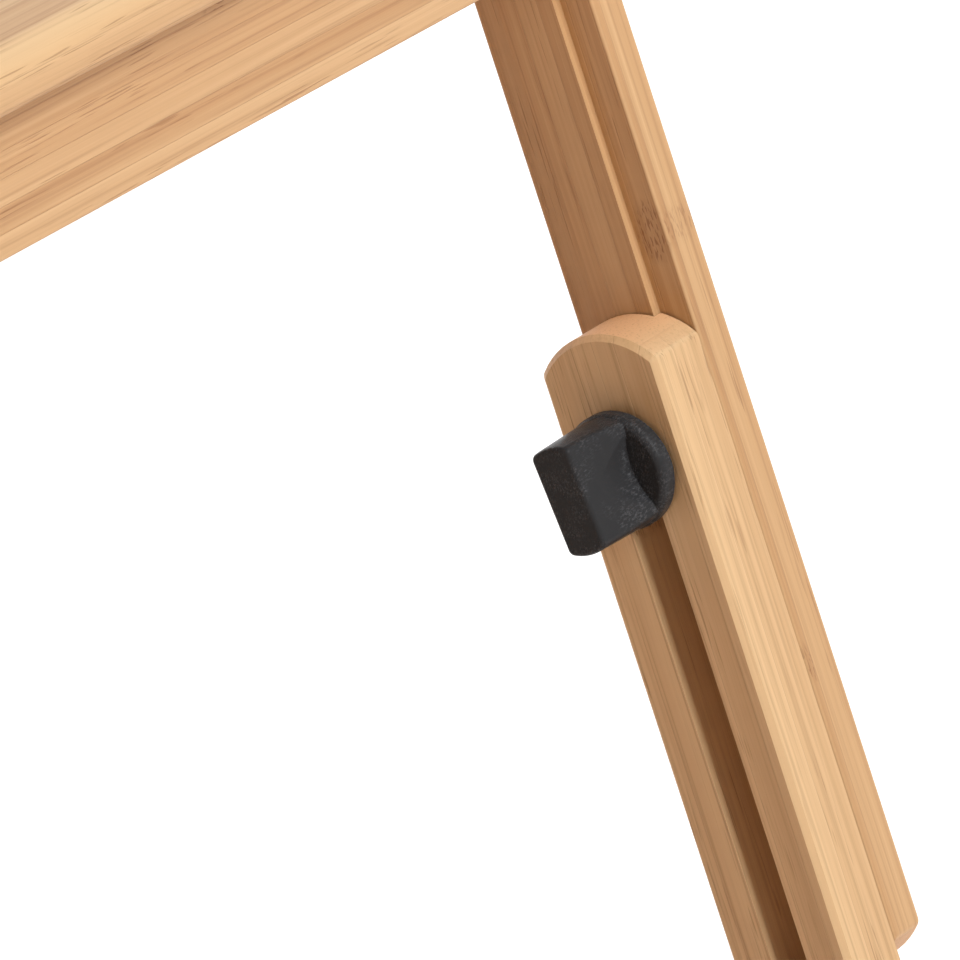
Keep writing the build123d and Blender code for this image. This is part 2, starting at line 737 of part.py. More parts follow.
with BuildPart() as tilt_panel:
    with BuildSketch(Plane.YZ.offset(panel_left_x)):
        with Locations(((tilt_y + panel_back_y) / 2, tilt_z)):
            Rectangle(panel_back_y - tilt_y, top_thickness)
        with Locations((tilt_y, tilt_z)):
            Circle(top_thickness / 2)
    extrude(amount=panel_right_x - panel_left_x)
    fillet(tilt_panel.edges().filter_by(Axis.X).group_by(Axis.Y)[-1], edge_round)
    fillet(tilt_panel.faces().filter_by(Axis.X).edges(), board_ease)
    with BuildSketch(Plane.XY.offset(top_underside - overrun)):
        with Locations((panel_centre_x, vent_centre_y)):
            with GridLocations(vent_pitch_x, vent_pitch_y, vent_columns, vent_rows):
                SlotOverall(vent_length, vent_width)
    extrude(amount=top_thickness + 2 * overrun, mode=Mode.SUBTRACT)
    fillet(tilt_panel.faces().sort_by(Axis.Z)[-1].inner_wires().edges(), board_ease)
    tilt_pins(tilt_pin_diameter + 2 * running_gap, Mode.SUBTRACT)
    panel_screws(Mode.SUBTRACT)
save(tilt_panel, "tilt_panel")

with BuildPart() as laptop_ledge:
    ledge_span = (panel_centre_x - ledge_length / 2, panel_centre_x + ledge_length / 2)
    ledge_reach = (ledge_y - ledge_depth / 2, ledge_y + ledge_depth / 2)
    slab(ledge_span, ledge_reach, (table_height, table_height + ledge_height))
    fillet(laptop_ledge.edges().group_by(Axis.Z)[-1], 2 * edge_round)
    panel_screws(Mode.SUBTRACT)
save(laptop_ledge, "laptop_ledge")

with BuildPart() as prop_blocks:
    for span in block_spans.values():
        reach = (prop_y - prop_block_depth / 2, prop_y + prop_block_depth / 2)
        slab(span, reach, (top_underside - prop_block_height, top_underside))
    fillet(prop_blocks.edges().filter_by(Axis.X).group_by(Axis.Z)[0], 2 * edge_round)
    prop_pins(tilt_pin_diameter, Mode.SUBTRACT)
    panel_screws(Mode.SUBTRACT)
save(prop_blocks, "prop_blocks")

with BuildPart() as panel_screw_set:
    panel_screws()
save(panel_screw_set, "panel_screws")

with BuildPart() as prop_pin_set:
    prop_pins(tilt_pin_diameter)
save(prop_pin_set, "prop_pins")

with BuildPart() as prop_arms:
    for span in arm_spans.values():
        with BuildSketch(Plane.YZ.offset(span[0])) as profile:
            with Locations(((prop_y + bar_y) / 2, prop_z)):
                SlotCenterToCenter(prop_length, prop_arm_height)
            with Locations((bar_y, prop_z)):
                Circle(prop_bar_diameter / 2, mode=Mode.SUBTRACT)
        extrude(profile.sketch, amount=prop_arm_width)
    prop_pins(tilt_pin_diameter + 2 * running_gap, Mode.SUBTRACT)
save(prop_arms, "prop_arms")

with BuildPart() as prop_bar:
    bar_start = panel_left_x + prop_bar_gap
    bar_length = panel_right_x - prop_bar_gap - bar_start
    rod(axis_plane((bar_start, bar_y, prop_z), (1, 0, 0)), prop_bar_diameter, bar_length)
save(prop_bar, "prop_bar")

# Drawer
bottom_limits = (
    (drawer_back_x, end_inner_x + drawer_groove_depth),
    (-drawer_inner_y - drawer_groove_depth, drawer_inner_y + drawer_groove_depth),
    (drawer_floor_z, drawer_floor_z + drawer_bottom_thickness),
)
pull_plane = axis_plane((end_inner_x, 0, pull_z), (1, 0, 0))


def pull_screw(mode=Mode.ADD):
    """Screw from inside the drawer front into the pull, or its hole."""
    head = pull_screw_head_diameter / 2
    shank = pull_screw_diameter / 2
    tip = apron_thickness + pull_screw_grip
    shoulder = pull_screw_head_height
    profile = [(0, 0), (0, head), (shoulder, head), (shoulder, shank), (tip, shank), (tip, 0)]
    turned(pull_plane, profile, mode)


with BuildPart() as drawer_front:
    front_y = bay_half_width - drawer_front_gap
    front_z = (apron_bottom + drawer_front_gap, top_underside - drawer_front_gap)
    slab((end_inner_x, end_outer_x), (-front_y, front_y), front_z)
    fillet(drawer_front.faces().sort_by(Axis.X)[-1].edges(), edge_round)
    slab(*bottom_limits, Mode.SUBTRACT)
    pull_screw(Mode.SUBTRACT)
save(drawer_front, "drawer_front")

with BuildPart() as drawer_sides:
    groove_z = (runner_z - runner_gap, runner_z + runner_height + runner_gap)
    for end in end_names:
        reach = sorted((end * drawer_inner_y, end * drawer_outer_y))
        slab((drawer_back_x, end_inner_x), reach, (drawer_bottom_z, drawer_top_z))
        groove_reach = sorted((end * (bay_half_width - runner_reach - runner_gap), end * bay_half_width))
        slab((drawer_back_x, end_inner_x), groove_reach, groove_z, Mode.SUBTRACT)
    fillet(drawer_sides.edges().filter_by(Axis.X).group_by(Axis.Z)[-1], board_ease)
    slab(*bottom_limits, Mode.SUBTRACT)
save(drawer_sides, "drawer_sides")

with BuildPart() as drawer_back:
    back_span = (drawer_back_x, drawer_back_x + drawer_side_thickness)
    slab(back_span, (-drawer_inner_y, drawer_inner_y), (bottom_limits[2][1], drawer_top_z))
    fillet(drawer_back.edges().filter_by(Axis.Y).group_by(Axis.Z)[-1], board_ease)
save(drawer_back, "drawer_back")

with BuildPart() as drawer_bottom:
    slab(*bottom_limits)
save(drawer_bottom, "drawer_bottom")

with BuildPart() as drawer_pull:
    neck = pull_neck_diameter / 2
    knob_radius = pull_diameter / 2
    pull_profile = [
        (0, 0),
        (0, neck),
        (pull_neck_length, neck),
        (pull_neck_length + pull_round, knob_radius),
        (pull_length - pull_round, knob_radius),
        (pull_length, knob_radius - pull_round),
        (pull_length, 0),
    ]
    turned(axis_plane((end_outer_x, 0, pull_z), (1, 0, 0)), pull_profile)
    fillet(drawer_pull.edges().filter_by(GeomType.CIRCLE).sort_by(SortBy.RADIUS)[2:], edge_round)
    pull_screw(Mode.SUBTRACT)
save(drawer_pull, "drawer_pull")

with BuildPart() as drawer_pull_screw:
    pull_screw()
save(drawer_pull_screw, "drawer_pull_screw")
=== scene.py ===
"""Looks of a bamboo laptop bed table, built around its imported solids.

+X runs along the table to the drawer end, -Y is the user's side and the floor is Z = 0, in metres.
"""

import json
import logging
import math
from dataclasses import dataclass, field
from enum import Enum
from typing import Any, Optional, Sequence, Union

import bmesh
import bpy
from mathutils import Matrix, Vector

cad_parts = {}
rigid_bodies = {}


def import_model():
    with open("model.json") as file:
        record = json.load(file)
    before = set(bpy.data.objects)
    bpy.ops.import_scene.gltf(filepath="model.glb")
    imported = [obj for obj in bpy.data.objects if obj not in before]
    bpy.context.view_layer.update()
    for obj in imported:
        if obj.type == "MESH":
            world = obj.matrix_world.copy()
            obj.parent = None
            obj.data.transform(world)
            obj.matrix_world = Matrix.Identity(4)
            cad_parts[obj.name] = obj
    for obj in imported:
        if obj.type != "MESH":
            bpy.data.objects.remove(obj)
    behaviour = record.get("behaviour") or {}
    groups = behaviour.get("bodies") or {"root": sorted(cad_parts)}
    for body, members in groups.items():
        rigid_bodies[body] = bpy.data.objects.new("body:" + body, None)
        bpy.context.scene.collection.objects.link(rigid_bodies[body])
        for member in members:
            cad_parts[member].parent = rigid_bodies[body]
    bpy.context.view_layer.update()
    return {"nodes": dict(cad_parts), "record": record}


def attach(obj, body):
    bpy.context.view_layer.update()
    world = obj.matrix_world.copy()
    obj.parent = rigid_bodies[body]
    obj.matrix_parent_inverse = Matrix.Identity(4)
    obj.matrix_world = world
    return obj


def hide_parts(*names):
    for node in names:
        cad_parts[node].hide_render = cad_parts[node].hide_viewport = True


LOG = logging.getLogger("bed_table")
MM = 0.001
LEAN = math.radians(20)
LEFT_FRONT_KNUCKLE = (-0.3563, -0.1456, 0.2100)
WHITE = (1.0, 1.0, 1.0, 1.0)
END_ZONE = 0.1 * MM
WELD = 0.001 * MM
TURNED_STEPS = 48
SHARP_EDGE = math.radians(32)
CROSS_ARM = math.tan(math.radians(15))
LEAST_SINE = 0.001
Span = tuple[float, float]
Triple = tuple[float, float, float]
Screen = tuple[int, int, int]
Number = Union[float, "Value"]


class Value:
    """A number that varies over a surface: a shader socket that takes Python's operators."""

    def __init__(self, graph: "Graph", socket: bpy.types.NodeSocket) -> None:
        """Wraps one output socket of a graph."""
        self.graph = graph
        self.socket = socket

    def math(self, operation: str, *operands: Number) -> "Value":
        """Adds a Math node.

        Args:
            operation: Blender's name of the operation.
            operands: Its numbers or values, in order.

        Returns:
            The node's result.
        """
        return self.graph.node("ShaderNodeMath", {"operation": operation}, dict(enumerate(operands)))

    def __add__(self, other: Number) -> "Value":
        """Sum."""
        return self.math("ADD", self, other)

    def __radd__(self, other: Number) -> "Value":
        """Sum with a number on the left."""
        return self.math("ADD", other, self)

    def __sub__(self, other: Number) -> "Value":
        """Difference."""
        return self.math("SUBTRACT", self, other)

    def __rsub__(self, other: Number) -> "Value":
        """Difference from a number on the left."""
        return self.math("SUBTRACT", other, self)

    def __mul__(self, other: Number) -> "Value":
        """Product."""
        return self.math("MULTIPLY", self, other)

    def __rmul__(self, other: Number) -> "Value":
        """Product with a number on the left."""
        return self.math("MULTIPLY", other, self)

    def __truediv__(self, other: Number) -> "Value":
        """Quotient."""
        return self.math("DIVIDE", self, other)

    def __abs__(self) -> "Value":
        """Size without the sign."""
        return self.math("ABSOLUTE", self)

    def __floor__(self) -> "Value":
        """Whole number below."""
        return self.math("FLOOR", self)

    def fraction(self) -> "Value":
        """What is left above the whole number below."""
        return self.math("FRACT", self)

    def from_middle(self) -> "Value":
        """Distance from the middle between two whole numbers, from 0 to a half."""
        return abs(self.fraction() - 0.5)

    def larger(self, other: Number) -> "Value":
        """The larger of two."""
        return self.math("MAXIMUM", self, other)

    def smaller(self, other: Number) -> "Value":
        """The smaller of two."""
        return self.math("MINIMUM", self, other)

    def rise(self, low: float, high: float) -> "Value":
        """Smooth step from 0 at low to 1 at high.

        Args:
            low: Where the step starts.
            high: Where it ends.

        Returns:
            The stepped value.
        """
        settings = {"interpolation_type": "SMOOTHSTEP"}
        sockets = {"Value": self, "From Min": low, "From Max": high}
        return self.graph.node("ShaderNodeMapRange", settings, sockets)


class Graph:
    """A tree of shader nodes while it is wired up."""

    def __init__(self, tree: bpy.types.NodeTree, output: str) -> None:
        """Empties a tree and gives it its output.

        Args:
            tree: The tree of a material or of the world.
            output: Blender's type of the output node.
        """
        self.nodes = tree.nodes
        self.links = tree.links
        self.nodes.clear()
        self.output = self.nodes.new(output)

    def node(
        self,
        kind: str,
        settings: Optional[dict[str, Any]] = None,
        sockets: Optional[dict[Union[str, int], Any]] = None,
        output: Union[str, int] = 0,
    ) -> Value:
        """Adds a node of any kind.

        Args:
            kind: Blender's type of the node.
            settings: Properties that are set first.
            sockets: Numbers, vectors, colours or values for its inputs, by name or place.
            output: Which of its outputs is wanted.

        Returns:
            The wanted output.
        """
        made = self.nodes.new(kind)
        for name, value in (settings or {}).items():
            setattr(made, name, value)
        for name, value in (sockets or {}).items():
            if isinstance(value, Value):
                self.links.new(value.socket, made.inputs[name])
            else:
                made.inputs[name].default_value = value
        return Value(self, made.outputs[output])

    def seen(self) -> Value:
        """1 where the camera, a reflection or a view through glass looks.

        Returns:
            The share that is seen, against what only gives light.
        """
        rays = ("Is Camera Ray", "Is Glossy Ray", "Is Transmission Ray")
        camera, glossy, through = (self.node("ShaderNodeLightPath", output=ray) for ray in rays)
        return camera.larger(glossy).larger(through)

    def show(self, surface: Value) -> None:
        """Links what the output shows."""
        self.links.new(surface.socket, self.output.inputs["Surface"])


class Shader(Graph):
    """One procedural material while its nodes are wired up."""

    def __init__(self, name: str, **constants: Any) -> None:
        """Starts a material with one principled shader.

        Args:
            name: The material's name.
            constants: Values of the shader's sockets that are the same all over, underscores for spaces.
        """
        self.material = bpy.data.materials.new(name)
        self.material.use_nodes = True
        super().__init__(self.material.node_tree, "ShaderNodeOutputMaterial")
        named = {socket.replace("_", " "): value for socket, value in constants.items()}
        self.surface = self.node("ShaderNodeBsdfPrincipled", sockets=named)
        self.show(self.surface)

    def place(self) -> Value:
        """Position on the piece as it stands at rest."""
        return self.node("ShaderNodeTexCoord", output="Object")

    def facing(self) -> Value:
        """Direction that the surface faces, at rest."""
        return self.node("ShaderNodeTexCoord", output="Normal")

    def lot(self) -> Value:
        """A number from 0 to 1 that is the piece's own."""
        return self.node("ShaderNodeObjectInfo", output="Random")

    def dot(self, vector: Value, axis: Sequence[float]) -> Value:
        """Length of a vector along an axis."""
        settings = {"operation": "DOT_PRODUCT"}
        return self.node("ShaderNodeVectorMath", settings, {0: vector, 1: axis}, "Value")

    def joined(self, x: Number, y: Number, z: Number) -> Value:
        """Vector from three numbers."""
        return self.node("ShaderNodeCombineXYZ", sockets={"X": x, "Y": y, "Z": z})

    def stretched(self, vector: Value, scale: Triple) -> Value:
        """Vector with each of its parts scaled."""
        return self.node("ShaderNodeMapping", sockets={"Vector": vector, "Scale": scale})

    def noise(
        self, vector: Value, scale: float = 1.0, detail: float = 2.0, roughness: float = 0.5
    ) -> Value:
        """Smooth noise from 0 to 1.

        Args:
            vector: Where it is read.
            scale: Its frequency.
            detail: How many finer octaves it has.
            roughness: How strong these are.

        Returns:
            The noise.
        """
        sockets = {"Vector": vector, "Scale": scale, "Detail": detail, "Roughness": roughness}
        return self.node("ShaderNodeTexNoise", {"noise_dimensions": "3D"}, sockets)

    def chance(self, x: Number, y: Number, z: Number) -> Value:
        """A number from 0 to 1 that is drawn afresh for each triple of whole numbers."""
        sockets = {"Vector": self.joined(x, y, z)}
        return self.node("ShaderNodeTexWhiteNoise", {"noise_dimensions": "3D"}, sockets)

    def blend(self, first: Any, second: Any, share: Number) -> Value:
        """Mixes two colours.

        Args:
            first: Colour at share 0.
            second: Colour at share 1.
            share: The second colour's share.

        Returns:
            The mixed colour.
        """
        return self.node("ShaderNodeMix", {"data_type": "RGBA"}, {"Factor": share, 6: first, 7: second}, 2)

    def finish(self, height: Value, depth: float, **varying: Value) -> bpy.types.Material:
        """Links what varies over the surface.

        Args:
            height: Relief from 0 to 1 for the bump.
            depth: How deep that relief is, in metres.
            varying: Values for the shader's sockets, underscores for spaces.

        Returns:
            The material.
        """
        varying["Normal"] = self.node("ShaderNodeBump", sockets={"Height": height, "Distance": depth})
        for socket, value in varying.items():
            self.links.new(value.socket, self.surface.socket.node.inputs[socket.replace("_", " ")])
        return self.material


def linear(screen: Screen) -> tuple[float, float, float, float]:
    """A screen colour as the linear colour that a shader takes.

    Args:
        screen: Red, green and blue from 0 to 255.

    Returns:
        Linear red, green, blue and a full alpha.
    """
    knee, slope, lift, power = 0.04045, 12.92, 0.055, 2.4
    shares = (part / 255 for part in screen)
    red, green, blue = (s / slope if s <= knee else ((s + lift) / (1 + lift)) ** power for s in shares)
    return red, green, blue, 1.0


class Grain(Enum):
    """How bamboo strips lie in a piece: the way they run, and the way their layers are stacked."""

    LENGTH_FLAT = ((1, 0, 0), (0, 0, 1))
    LENGTH_UPRIGHT = ((1, 0, 0), (0, 1, 0))
    DEPTH_FLAT = ((0, 1, 0), (0, 0, 1))
    DEPTH_UPRIGHT = ((0, 1, 0), (1, 0, 0))
    LEFT_LEG = ((-math.sin(LEAN), 0, -math.cos(LEAN)), (math.cos(LEAN), 0, -math.sin(LEAN)))
    RIGHT_LEG = ((math.sin(LEAN), 0, -math.cos(LEAN)), (math.cos(LEAN), 0, math.sin(LEAN)))

    @property
    def axes(self) -> tuple[Vector, Vector, Vector]:
        """Along the strips, through their layers, and across them."""
        along, stack = (Vector(axis) for axis in self.value)
        return along, stack, along.cross(stack)


class Shade(Enum):
    """How dark a piece is painted: a shift of the share of honey colour in it, partly the canes' own tone
    and partly painted shade, deeper on the upper legs and aprons under the top and paler on the lower legs.
    """

    PALE = -0.12
    MIDDLE = 0.0
    DEEP = 0.16


@dataclass(frozen=True)
class Streaks:
    """Noise drawn out along the strips, and the band of it that shows. Lengths are in millimetres."""

    length: float
    width: float
    band: Span = (0.0, 1.0)
    detail: float = 2.0
    roughness: float = 0.5


@dataclass(frozen=True)
class Weights:
    """How strongly each kind of mark in bamboo counts."""

    fibres: float = 0.0
    hairs: float = 0.0
    dashes: float = 0.0
    joints: float = 0.0
    pits: float = 0.0
    knuckles: float = 0.0
    ends: float = 0.0


@dataclass
class Lie:
    """Position in a piece of bamboo, in millimetres: along its strips, through their layers and across."""

    shader: Shader
    along: Value
    stack: Value
    across: Value

    def noise(self, streaks: Streaks) -> Value:
        """Smooth noise that is drawn out along the strips.

        Args:
            streaks: How large and how fine it is.

        Returns:
            The noise, from 0 to 1.
        """
        width = streaks.width
        spot = self.shader.joined(self.along / streaks.length, self.stack / width, self.across / width)
        return self.shader.noise(spot, detail=streaks.detail, roughness=streaks.roughness)

    def marks(self, streaks: Streaks) -> Value:
        """The noise stepped from 0 below its band to 1 above it."""
        return self.noise(streaks).rise(*streaks.band)


@dataclass(frozen=True)
class Bamboo:
    """Lacquered bamboo, glued up from strips in layers. Lengths are in millimetres, relief in metres."""

    pale: Screen = (226, 194, 149)
    honey: Screen = (190, 148, 103)
    fibre: Screen = (128, 78, 42)
    cut: Screen = (226, 181, 136)
    layer: float = 4.6
    strip: float = 19.0
    layer_joint: Span = (0.462, 0.5)
    strip_joint: Span = (0.493, 0.5)
    lot_shifts: Triple = (1900.0, 310.0, 170.0)
    shift_draw: Span = (3.0, 7.0)
    tone_draw: float = 1.0
    knuckle_draw: float = 5.0
    knuckle_pitch: float = 290.0
    knuckle_edge: Span = (2.4, 6.0)
    knuckle_wander: float = 3.0
    knuckle_length: float = 6.5
    knuckle_width: float = 3.8
    patch_edge: Span = (0.35, 1.0)
    end_turn: Span = (0.6, 0.9)
    # Painted highlight on rounded edges: where the facing turns off the strips' axes
    highlight_turn: Span = (0.80, 0.985)
    drift: Streaks = Streaks(240.0, 3.2)
    fibres: Streaks = Streaks(110.0, 0.85, band=(0.46, 0.76), detail=3.0, roughness=0.58)
    glint_band: Span = (0.30, 0.46)
    hairs: Streaks = Streaks(30.0, 0.34, band=(0.55, 0.75), detail=1.0)
    bundles: Streaks = Streaks(13.0, 0.42, band=(0.58, 0.68), detail=1.0)
    gather: Streaks = Streaks(70.0, 4.0, band=(0.45, 0.60))
    wander: Streaks = Streaks(12.0, 1.6)
    pits: Streaks = Streaks(1.9, 0.42, band=(0.53, 0.62), detail=1.0)
    dots: Streaks = Streaks(8.0, 0.45, band=(0.55, 0.70))
    honey_shift: float = -0.06
    tone_share: float = 0.46
    drift_share: float = 0.66
    glint_share: float = 0.22
    # How much paler the painted highlight on rounded edges makes them
    highlight_share: float = 0.30
    darkening: Weights = Weights(
        fibres=0.30, hairs=0.08, dashes=0.42, joints=0.24, pits=0.50, knuckles=0.12, ends=0.30
    )
    roughness: float = 0.44
    roughening: Weights = Weights(fibres=0.12, dashes=0.08, ends=0.08)
    level: float = 0.5
    raising: Weights = Weights(fibres=0.40, hairs=0.10, dashes=-0.35, joints=-0.50, pits=-0.40)
    relief: float = 0.00009

    def lie(self, shader: Shader, grain: Grain) -> Lie:
        """Where a point is among the strips, with a stretch of cane of its own for each piece.

        Args:
            shader: The material that the strips show in.
            grain: How the strips lie.

        Returns:
            The point's position.
        """
        place, lot = shader.place(), shader.lot()
        spots = (shader.dot(place, axis) / MM for axis in grain.axes)
        return Lie(shader, *(spot + lot * shift for spot, shift in zip(spots, self.lot_shifts)))

    def knuckle_patch(self, shader: Shader, grain: Grain, spot: Triple) -> Value:
        """A knuckle at a known place.

        Args:
            shader: The material that it shows in.
            grain: How the strips lie.
            spot: The knuckle's middle.

        Returns:
            1 in its middle, fading to 0 round it.
        """
        middle, place = Vector(spot), shader.place()
        along, stack = ((shader.dot(place, axis) - middle.dot(axis)) / MM for axis in grain.axes[:2])
        along, stack = along / self.knuckle_length, stack / self.knuckle_width
        return 1 - (along * along + stack * stack).rise(*self.patch_edge)

    def material(self, grain: Grain, shade: Shade, spot: Optional[Triple]) -> bpy.types.Material:
        """Builds the finish.

        Args:
            grain: How the strips lie.
            shade: How dark they are painted, partly their own tone and partly painted shade.
            spot: The middle of a knuckle that has its own place, if there is one.

        Returns:
            The material.
        """
        name = f"bamboo_{grain.name}_{shade.name}{'_knuckled' if spot else ''}".lower()
        shader = Shader(name, Specular_IOR_Level=0.35, Coat_Weight=0.12, Coat_Roughness=0.32)
        lie = self.lie(shader, grain)
        on_end, on_layer, on_edge = (abs(shader.dot(shader.facing(), axis)) for axis in grain.axes)

        # Each strip of each layer has its own tone, with long fibres and short dark bundles in it
        layer = math.floor(lie.stack / self.layer)
        shifted = lie.across / self.strip + shader.chance(layer, *self.shift_draw)
        strip = math.floor(shifted)
        tone = shader.chance(layer, strip, self.tone_draw)
        fibres = lie.noise(self.fibres)
        hairs = lie.noise(self.hairs)
        dashes = lie.marks(self.bundles) * lie.marks(self.gather)

        # Joints between the strips, and the pitted knuckles that the canes had
        layer_joint = (lie.stack / self.layer).from_middle().rise(*self.layer_joint)
        joints = layer_joint.larger(shifted.from_middle().rise(*self.strip_joint))
        knuckle_at = lie.along / self.knuckle_pitch + shader.chance(layer, strip, self.knuckle_draw)
        away = knuckle_at.from_middle() * self.knuckle_pitch + lie.noise(self.wander) * self.knuckle_wander
        knuckle = 1 - away.rise(*self.knuckle_edge)
        if spot:
            knuckle = knuckle.larger(self.knuckle_patch(shader, grain, spot))
        pits = lie.marks(self.pits)

        # Pale cane turns to honey, and the marks darken it
        pale, dark, darker = linear(self.pale), linear(self.fibre), self.darkening
        share = tone * self.tone_share + lie.noise(self.drift) * self.drift_share
        # The piece's shade shifts the share: partly its own tone, partly painted shade.
        share = (share + self.honey_shift + shade.value).smaller(1.0).larger(0.0)
        colour = shader.blend(pale, linear(self.honey), share)
        colour = shader.blend(colour, pale, (1 - fibres.rise(*self.glint_band)) * self.glint_share)
        lines = fibres.rise(*self.fibres.band) * darker.fibres + hairs.rise(*self.hairs.band) * darker.hairs
        pitted = knuckle * (pits * darker.pits + darker.knuckles)
        for mark in (lines, dashes * darker.dashes, joints * darker.joints, pitted):
            colour = shader.blend(colour, dark, mark)

        # Ends show the cut canes, and rounded edges are painted paler as a painted highlight
        cut = shader.blend(linear(self.cut), dark, lie.marks(self.dots) * darker.ends)
        ends = on_end.rise(*self.end_turn)
        colour = shader.blend(colour, cut, ends)
        edge_highlight = 1 - on_end.larger(on_layer).larger(on_edge).rise(*self.highlight_turn)
        colour = shader.blend(colour, pale, edge_highlight * self.highlight_share)

        rougher, raised = self.roughening, self.raising
        roughness = self.roughness + fibres * rougher.fibres + dashes * rougher.dashes + ends * rougher.ends
        height = self.level + fibres * raised.fibres + hairs * raised.hairs + dashes * raised.dashes
        height = height + joints * raised.joints + knuckle * pits * raised.pits
        return shader.finish(height, self.relief, Base_Color=colour, Roughness=roughness)


@dataclass(frozen=True)
class Plastic:
    """Black moulded plastic with a satin skin and handling scuffs."""

    tint: Screen = (50, 51, 53)
    scuffed: Screen = (98, 100, 104)
    grain_scale: float = 1500.0
    scratch_scales: Triple = (3800.0, 900.0, 2200.0)
    scratch_band: Span = (0.46, 0.72)
    wear_scale: float = 150.0
    wear_band: Span = (0.36, 0.62)
    scuff_share: float = 0.65
    roughness: float = 0.27
    scuff_roughness: float = 0.20
    grain_roughness: float = 0.08
    scuff_relief_share: float = 0.6
    relief: float = 0.00007

    def material(self) -> bpy.types.Material:
        """Builds the finish.

        Returns:
            The material.
        """
        shader = Shader("black_plastic", Specular_IOR_Level=0.07)
        place = shader.place()
        grainy = shader.noise(place, self.grain_scale, detail=3.0)
        scratches = shader.noise(shader.stretched(place, self.scratch_scales), detail=3.0, roughness=0.7)
        worn = shader.noise(place, self.wear_scale).rise(*self.wear_band)
        scuffs = scratches.rise(*self.scratch_band) * worn
        colour = shader.blend(linear(self.tint), linear(self.scuffed), scuffs * self.scuff_share)
        roughness = self.roughness + scuffs * self.scuff_roughness + grainy * self.grain_roughness
        height = grainy * (1 - self.scuff_relief_share) + scuffs * self.scuff_relief_share
        return shader.finish(height, self.relief, Base_Color=colour, Roughness=roughness)


@dataclass(frozen=True)
class Metal:
    """Plated or turned metal."""

    name: str
    tint: Screen
    roughness: float
    dulled_share: float = 0.66
    cloud_scale: float = 320.0
    cloud_band: Span = (0.35, 0.70)
    cloud_roughness: float = 0.16
    fine_scale: float = 2600.0
    fine_roughness: float = 0.06
    relief: float = 0.00002

    def material(self) -> bpy.types.Material:
        """Builds the finish.

        Returns:
            The material.
        """
        shader = Shader(self.name, Metallic=1.0)
        place = shader.place()
        cloud = shader.noise(place, self.cloud_scale, detail=3.0)
        fine = shader.noise(place, self.fine_scale)
        red, green, blue, alpha = linear(self.tint)
        dull = tuple(part * self.dulled_share for part in (red, green, blue)) + (alpha,)
        colour = shader.blend((red, green, blue, alpha), dull, cloud.rise(*self.cloud_band))
        clouded = self.roughness + (cloud - 0.5) * self.cloud_roughness
        roughness = clouded + fine * self.fine_roughness
        return shader.finish(fine, self.relief, Base_Color=colour, Roughness=roughness)


@dataclass(frozen=True)
class Rubber:
    """Dark non-slip rubber with a fine matt grain."""

    tint: Screen = (44, 43, 42)
    dusty: Screen = (86, 83, 78)
    grain_scale: float = 1800.0
    dust_scale: float = 90.0
    dust_band: Span = (0.5, 0.7)
    dust_share: float = 0.35
    roughness: float = 0.78
    grain_roughness: float = 0.12
    relief: float = 0.0001

    def material(self) -> bpy.types.Material:
        """Builds the finish.

        Returns:
            The material.
        """
        shader = Shader("foot_rubber", Specular_IOR_Level=0.3)
        place = shader.place()
        grainy = shader.noise(place, self.grain_scale, detail=3.0, roughness=0.7)
        dust = shader.noise(place, self.dust_scale, detail=3.0).rise(*self.dust_band)
        colour = shader.blend(linear(self.tint), linear(self.dusty), dust * self.dust_share)
        roughness = self.roughness + grainy * self.grain_roughness
        return shader.finish(grainy, self.relief, Base_Color=colour, Roughness=roughness)


@dataclass(frozen=True)
class Plywood:
    """Thin plywood with a rotary-cut face."""

    pale: Screen = (226, 194, 150)
    dark: Screen = (196, 154, 106)
    rings: float = 9.0
    ring_band: Span = (0.25, 0.5)
    ring_share: float = 0.5
    wander_scales: Triple = (14.0, 2.2, 40.0)
    wander_share: float = 0.3
    pore_scales: Triple = (1500.0, 90.0, 1500.0)
    pore_band: Span = (0.55, 0.7)
    pore_share: float = 0.4
    roughness: float = 0.55
    ring_roughness: float = 0.1
    relief: float = 0.00005

    def material(self) -> bpy.types.Material:
        """Builds the finish.

        Returns:
            The material.
        """
        shader = Shader("drawer_plywood", Specular_IOR_Level=0.3)
        place, dark = shader.place(), linear(self.dark)
        wander = shader.noise(shader.stretched(place, self.wander_scales), detail=3.0)
        lines = (wander * self.rings).from_middle().rise(*self.ring_band)
        pores = shader.noise(shader.stretched(place, self.pore_scales))
        colour = shader.blend(linear(self.pale), dark, lines * self.ring_share + wander * self.wander_share)
        colour = shader.blend(colour, dark, pores.rise(*self.pore_band) * self.pore_share)
        roughness = self.roughness + lines * self.ring_roughness
        return shader.finish(pores, self.relief, Base_Color=colour, Roughness=roughness)


@dataclass
class Workshop:
    """Every finish of the table, each built once."""

    plastic: bpy.types.Material
    steel: bpy.types.Material
    brass: bpy.types.Material
    rubber: bpy.types.Material
    plywood: bpy.types.Material
    boards: dict[tuple[Grain, Shade, Optional[Triple]], bpy.types.Material] = field(default_factory=dict)

    @classmethod
    def opened(cls) -> "Workshop":
        """Builds the finishes other than bamboo.

        Returns:
            The workshop, with no bamboo in it yet.
        """
        return cls(
            plastic=Plastic().material(),
            steel=Metal("zinc_steel", tint=(178, 179, 182), roughness=0.36).material(),
            brass=Metal("turned_brass", tint=(214, 178, 104), roughness=0.30).material(),
            rubber=Rubber().material(),
            plywood=Plywood().material(),
        )

    def bamboo(self, grain: Grain, shade: Shade, spot: Optional[Triple] = None) -> bpy.types.Material:
        """Bamboo of one lie and shade, built when it is first wanted.

        Args:
            grain: How the strips lie.
            shade: How dark they are painted, partly their own tone and partly painted shade.
            spot: The middle of a knuckle that has its own place, if there is one.

        Returns:
            The material.
        """
        if (grain, shade, spot) not in self.boards:
            self.boards[grain, shade, spot] = Bamboo().material(grain, shade, spot)
        return self.boards[grain, shade, spot]


